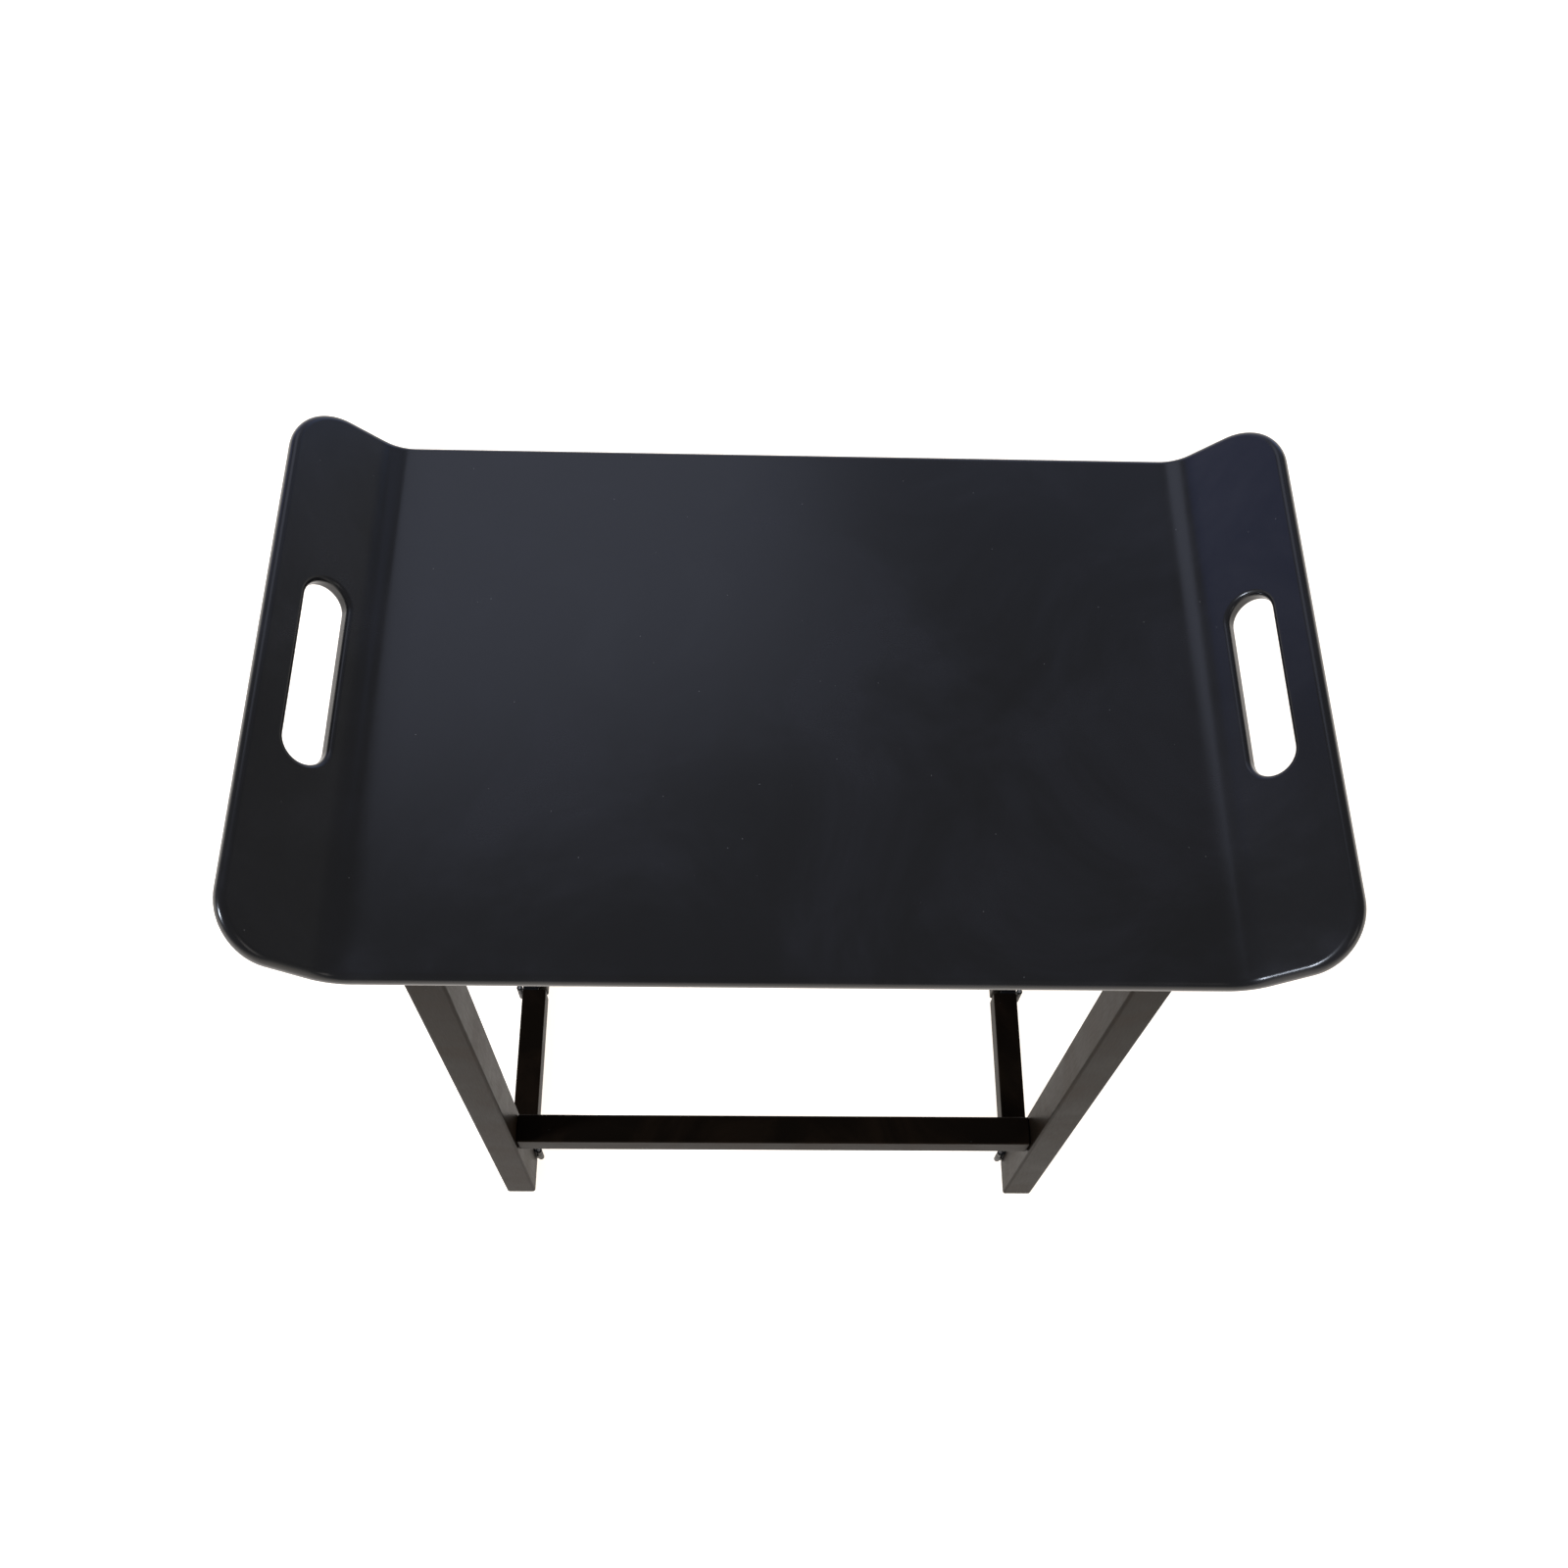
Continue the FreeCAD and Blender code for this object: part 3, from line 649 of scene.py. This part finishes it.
def screwTree():
    tree, given, result = newTree("hingeScrews", {
        "Points": "Geometry", "Head radius": "Float", "Head height": "Float",
        "Shank radius": "Float", "Shank length": "Float", "Tip radius": "Float",
        "Recess length": "Float", "Recess width": "Float", "Recess depth": "Float",
        "Seed": "Int", "Finish": "Material"}, "Screws")
    head = addNode(tree, "GeometryNodeMeshCone", {
        "Vertices": screw["headSides"], "Radius Top": given["Head radius"],
        "Radius Bottom": given["Shank radius"], "Depth": given["Head height"]}).outputs["Mesh"]
    shank = addNode(tree, "GeometryNodeMeshCone", {
        "Vertices": screw["shankSides"], "Radius Top": given["Shank radius"],
        "Radius Bottom": given["Tip radius"], "Depth": given["Shank length"]}).outputs["Mesh"]
    down = addNode(tree, "ShaderNodeMath", {0: given["Shank length"], 1: -1.0},
                   operation="MULTIPLY").outputs[0]
    lower = addNode(tree, "ShaderNodeCombineXYZ", {2: down}).outputs[0]
    shank = addNode(tree, "GeometryNodeTransform", {"Geometry": shank,
                                                    "Translation": lower}).outputs[0]
    depth = addNode(tree, "ShaderNodeMath", {0: given["Recess depth"], 1: 2.0},
                    operation="MULTIPLY").outputs[0]
    long = addNode(tree, "ShaderNodeCombineXYZ", {0: given["Recess length"],
                                                  1: given["Recess width"], 2: depth}).outputs[0]
    wide = addNode(tree, "ShaderNodeCombineXYZ", {0: given["Recess width"],
                                                  1: given["Recess length"], 2: depth}).outputs[0]
    top = addNode(tree, "ShaderNodeCombineXYZ", {2: given["Head height"]}).outputs[0]
    for size in (long, wide):
        arm = addNode(tree, "GeometryNodeMeshCube", {"Size": size}).outputs["Mesh"]
        arm = addNode(tree, "GeometryNodeTransform", {"Geometry": arm,
                                                      "Translation": top}).outputs[0]
        head = addNode(tree, "GeometryNodeMeshBoolean", {"Mesh 1": head, "Mesh 2": arm},
                       operation="DIFFERENCE", solver="EXACT").outputs["Mesh"]
    join = addNode(tree, "GeometryNodeJoinGeometry")
    for part in (head, shank):
        tree.links.new(part, join.inputs[0])
    placeFasteners(tree, given["Points"], join.outputs[0], given["Seed"], given["Finish"], result)
    return tree


def boltTree():
    tree, given, result = newTree("socketBolts", {
        "Points": "Geometry", "Head radius": "Float", "Head height": "Float",
        "Head round": "Float", "Socket width": "Float", "Socket depth": "Float",
        "Shank radius": "Float", "Shank length": "Float", "Seed": "Int",
        "Finish": "Material"}, "Bolts")
    straight = addNode(tree, "ShaderNodeMath", {0: given["Head height"], 1: given["Head round"]},
                       operation="SUBTRACT").outputs[0]
    head = addNode(tree, "GeometryNodeMeshCylinder", {
        "Vertices": bolt["headSides"], "Radius": given["Head radius"],
        "Depth": straight}).outputs
    rounded = addNode(tree, "GeometryNodeExtrudeMesh", {
        "Mesh": head["Mesh"], "Selection": head["Top"], "Offset Scale": given["Head round"],
        "Individual": False}).outputs
    small = addNode(tree, "ShaderNodeMath", {0: given["Head radius"], 1: given["Head round"]},
                    operation="SUBTRACT").outputs[0]
    small = addNode(tree, "ShaderNodeMath", {0: small, 1: given["Head radius"]},
                    operation="DIVIDE").outputs[0]
    crowned = addNode(tree, "GeometryNodeScaleElements", {
        "Geometry": rounded["Mesh"], "Selection": rounded["Top"], "Scale": small},
        domain="FACE").outputs[0]
    half = addNode(tree, "ShaderNodeMath", {0: straight, 1: 0.5}, operation="MULTIPLY").outputs[0]
    up = addNode(tree, "ShaderNodeCombineXYZ", {2: half}).outputs[0]
    crowned = addNode(tree, "GeometryNodeTransform", {"Geometry": crowned,
                                                      "Translation": up}).outputs[0]
    corner = addNode(tree, "ShaderNodeMath", {0: given["Socket width"], 1: math.sqrt(3)},
                     operation="DIVIDE").outputs[0]
    depth = addNode(tree, "ShaderNodeMath", {0: given["Socket depth"], 1: 2.0},
                    operation="MULTIPLY").outputs[0]
    socket = addNode(tree, "GeometryNodeMeshCylinder", {
        "Vertices": 6, "Radius": corner, "Depth": depth}).outputs["Mesh"]
    top = addNode(tree, "ShaderNodeCombineXYZ", {2: given["Head height"]}).outputs[0]
    socket = addNode(tree, "GeometryNodeTransform", {"Geometry": socket,
                                                     "Translation": top}).outputs[0]
    crowned = addNode(tree, "GeometryNodeMeshBoolean", {"Mesh 1": crowned, "Mesh 2": socket},
                      operation="DIFFERENCE", solver="EXACT").outputs["Mesh"]
    shank = addNode(tree, "GeometryNodeMeshCylinder", {
        "Vertices": bolt["shankSides"], "Radius": given["Shank radius"],
        "Depth": given["Shank length"]}).outputs["Mesh"]
    down = addNode(tree, "ShaderNodeMath", {0: given["Shank length"], 1: -0.5},
                   operation="MULTIPLY").outputs[0]
    lower = addNode(tree, "ShaderNodeCombineXYZ", {2: down}).outputs[0]
    shank = addNode(tree, "GeometryNodeTransform", {"Geometry": shank,
                                                    "Translation": lower}).outputs[0]
    join = addNode(tree, "GeometryNodeJoinGeometry")
    for part in (crowned, shank):
        tree.links.new(part, join.inputs[0])
    placeFasteners(tree, given["Points"], join.outputs[0], given["Seed"], given["Finish"], result)
    return tree


def fastenerPoints(name, spots):
    mesh = bpy.data.meshes.new(name)
    mesh.from_pydata([spot for spot, facing in spots], [], [])
    writeVectors(mesh, "facing", [facing for spot, facing in spots])
    return mesh


def hingeSpots():
    # the screws of every leaf: from its pin, the way to its free edge and the way it faces
    spots = {body: [] for body in frame["bodies"]}
    levels = [middleOf("right_front_" + link).z for link in ("runner", "top_bar")]
    back = screw["leafGap"] / 2 + screw["headHeight"]

    def addLeaf(body, pin, reach, facing):
        for level in levels:
            for side in (-1, 1):
                spot = Vector((pin.x + reach * screw["fromPin"], pin.y - facing * back,
                               level + side * screw["spacing"] / 2))
                spots[body].append((spot, Vector((0, facing, 0))))

    for sy, end in ((-1, "front"), (1, "back")):
        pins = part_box(end + "_hinge_pins")
        pinY = (pins[0].y + pins[1].y) / 2
        pinRadius = (pins[1].y - pins[0].y) / 2
        for sx, side in ((1, "right"), (-1, "left")):
            endPin = Vector((sx * (pins[1].x - pinRadius), pinY, 0))
            midPin = middleOf(side + "_front_hinge_pins")
            addLeaf(end + "_frame", endPin, sx, -sy)
            addLeaf(f"{side}_{end}_link", endPin, sx, sy)
            addLeaf(f"{side}_{end}_link", midPin, -sx, -sy)
    return spots


def makeScrews():
    tree = screwTree()
    for body, spots in hingeSpots().items():
        if not spots:
            continue
        stem = body.replace("_frame", "").replace("_link", "")
        name = stem.replace("_front", "Front").replace("_back", "Back") + "HingeScrews"
        piece = growPiece(name, fastenerPoints(name, spots), tree, {
            "Head radius": screw["headRadius"], "Head height": screw["headHeight"],
            "Shank radius": screw["shankRadius"], "Shank length": screw["shankLength"],
            "Tip radius": screw["tipRadius"], "Recess length": screw["recessLength"],
            "Recess width": screw["recessWidth"], "Recess depth": screw["recessDepth"],
            "Seed": screw["seed"],
            "Finish": finish["blackenedSteel"]})
        piece.data.set_sharp_from_angle(angle=fastenerSharp)
        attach(piece, body)
        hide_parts(stem + "_hinge_screws")


def makeBolts():
    tree = boltTree()
    for end in ("front", "back"):
        spots = []
        for side, sx in (("right", 1), ("left", -1)):
            low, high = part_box(f"{end}_{side}_leg")
            outer = high.x if sx > 0 else low.x
            seat = outer - sx * (bolt["sink"] + bolt["headHeight"])
            for rail in ("lower_rail", "top_rail"):
                level = middleOf(f"{end}_{rail}").z + wood["boltRise"]
                spots.append((Vector((seat, (low.y + high.y) / 2, level)), Vector((sx, 0, 0))))
        piece = growPiece(end + "ConnectorBolts", fastenerPoints(end, spots), tree, {
            "Head radius": bolt["headRadius"], "Head height": bolt["headHeight"],
            "Head round": bolt["headRound"], "Socket width": bolt["socketWidth"],
            "Socket depth": bolt["socketDepth"], "Shank radius": bolt["shankRadius"],
            "Shank length": bolt["shankLength"], "Seed": bolt["seed"],
            "Finish": finish["zincPlatedSteel"]})
        piece.data.set_sharp_from_angle(angle=fastenerSharp)
        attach(piece, end + "_frame")
        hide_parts(end + "_connector_bolts")


makeScrews()
makeBolts()
print("hinge screws and connector bolts placed")


finishOf = {"hinge_leaves": "blackenedSteel", "hinge_pins": "brightSteelPin",
            "barrel_nuts": "zincPlatedSteel", "locating_pins": "zincPlatedSteel",
            "dowels": "turnedBeech", "tray_pads": "mouldedRubber",
            "foot_glides": "mouldedPolyethylene"}
for node, shown in frame["nodes"].items():
    for ending, name in finishOf.items():
        if node.endswith(ending):
            shown.data.materials.clear()
            shown.data.materials.append(finish[name])
print("finish given to the metal, rubber and plastic nodes")


studio = {"floorSize": 60.0, "floorColor": "#f7efe4", "floorGlow": 1.1,
          "floorRoughness": 0.9, "overhead": "#8a8a8d", "horizon": "#f4f3f0",
          "horizonFoot": 0.03, "horizonTop": 0.28}
# place, aim, width, height, watts and colour of each soft light
lights = {
    "windowLeft": ((-2.6, -1.0, 2.2), (0, 0, 0.5), 0.42, 0.36, 66, "#e6efff"),
    "highLeft": ((-0.66, 2.15, 2.95), (0, 0, 0.5), 1.6, 1.7, 8, "#d6e0ff"),
    "highRight": ((0.95, 2.4, 2.5), (0, 0, 0.5), 1.9, 1.5, 2.6, "#b4c8ff"),
    "wallLeft": ((-2.3, 2.6, 1.6), (0, 0, 0.5), 1.8, 1.5, 3.6, "#5c86ff"),
    "wallBehind": ((-0.2, 3.6, 1.4), (0, 0, 0.5), 4.4, 1.6, 12, "#b4c5ff"),
    "wallRight": ((1.8, 3.0, 1.35), (0, 0, 0.5), 1.5, 1.4, 5.5, "#84b0ff"),
    "fillRight": ((2.2, -2.2, 3.0), (0, 0, 0.4), 1.4, 1.4, 7, "#fffaf4"),
}
camera = {"place": (-0.0319, -0.4860, 1.3579), "yaw": 3.675, "down": 62.733, "roll": 3.925,
          "lens": 37.46, "sensor": 36}


def makeFloor():
    half = studio["floorSize"] / 2
    mesh = bpy.data.meshes.new("floor")
    mesh.from_pydata([(-half, -half, 0), (half, -half, 0), (half, half, 0), (-half, half, 0)],
                     [], [(0, 1, 2, 3)])
    # matt seamless paper with a light table under it
    material, tree, shader = newMaterial("seamlessPaper", {"color": studio["floorColor"],
                                                           "Roughness": studio["floorRoughness"]})
    shader.inputs["Emission Color"].default_value = fromHex(studio["floorColor"])
    shader.inputs["Emission Strength"].default_value = studio["floorGlow"]
    mesh.materials.append(material)
    addPiece("floor", mesh)


def makeLights():
    # a dim room above a pale horizon
    world = bpy.data.worlds.new("studio")
    world.use_nodes = True
    tree = world.node_tree
    way = addNode(tree, "ShaderNodeTexCoord").outputs["Generated"]
    rise = addNode(tree, "ShaderNodeSeparateXYZ", {0: way}).outputs[2]
    blend = addNode(tree, "ShaderNodeMapRange", {
        "Value": rise, "From Min": studio["horizonFoot"], "From Max": studio["horizonTop"],
        "To Min": 0.0, "To Max": 1.0}, interpolation_type="SMOOTHSTEP").outputs[0]
    sky = addNode(tree, "ShaderNodeMix", {
        0: blend, 6: fromHex(studio["horizon"]), 7: fromHex(studio["overhead"])},
        data_type="RGBA").outputs[2]
    tree.links.new(sky, tree.nodes["Background"].inputs["Color"])
    scene.world = world
    for name, (place, aim, width, height, watts, color) in lights.items():
        light = bpy.data.lights.new(name, "AREA")
        light.shape = "RECTANGLE"
        light.size = width
        light.size_y = height
        light.energy = watts
        light.color = fromHex(color)[:3]
        lamp = bpy.data.objects.new(name, light)
        scene.collection.objects.link(lamp)
        lamp.location = place
        lamp.rotation_euler = (Vector(aim) - Vector(place)).to_track_quat("-Z", "Y").to_euler()


def makeCamera():
    yaw, down, roll = (math.radians(camera[key]) for key in ("yaw", "down", "roll"))
    ahead = Vector((math.sin(yaw) * math.cos(down), math.cos(yaw) * math.cos(down),
                    -math.sin(down)))
    right = ahead.cross(Vector((0, 0, 1))).normalized()
    up = right.cross(ahead)
    tiltedRight = math.cos(roll) * right + math.sin(roll) * up
    tiltedUp = -math.sin(roll) * right + math.cos(roll) * up
    data = bpy.data.cameras.new("camera")
    data.sensor_width = camera["sensor"]
    data.lens = camera["lens"]
    view = bpy.data.objects.new("camera", data)
    scene.collection.objects.link(view)
    turn = Matrix((tiltedRight, tiltedUp, -ahead)).transposed()
    view.matrix_world = Matrix.Translation(camera["place"]) @ turn.to_4x4()
    scene.camera = view


makeFloor()
makeLights()
makeCamera()
scene.view_settings.view_transform = "Standard"
print("floor, lights and camera placed")
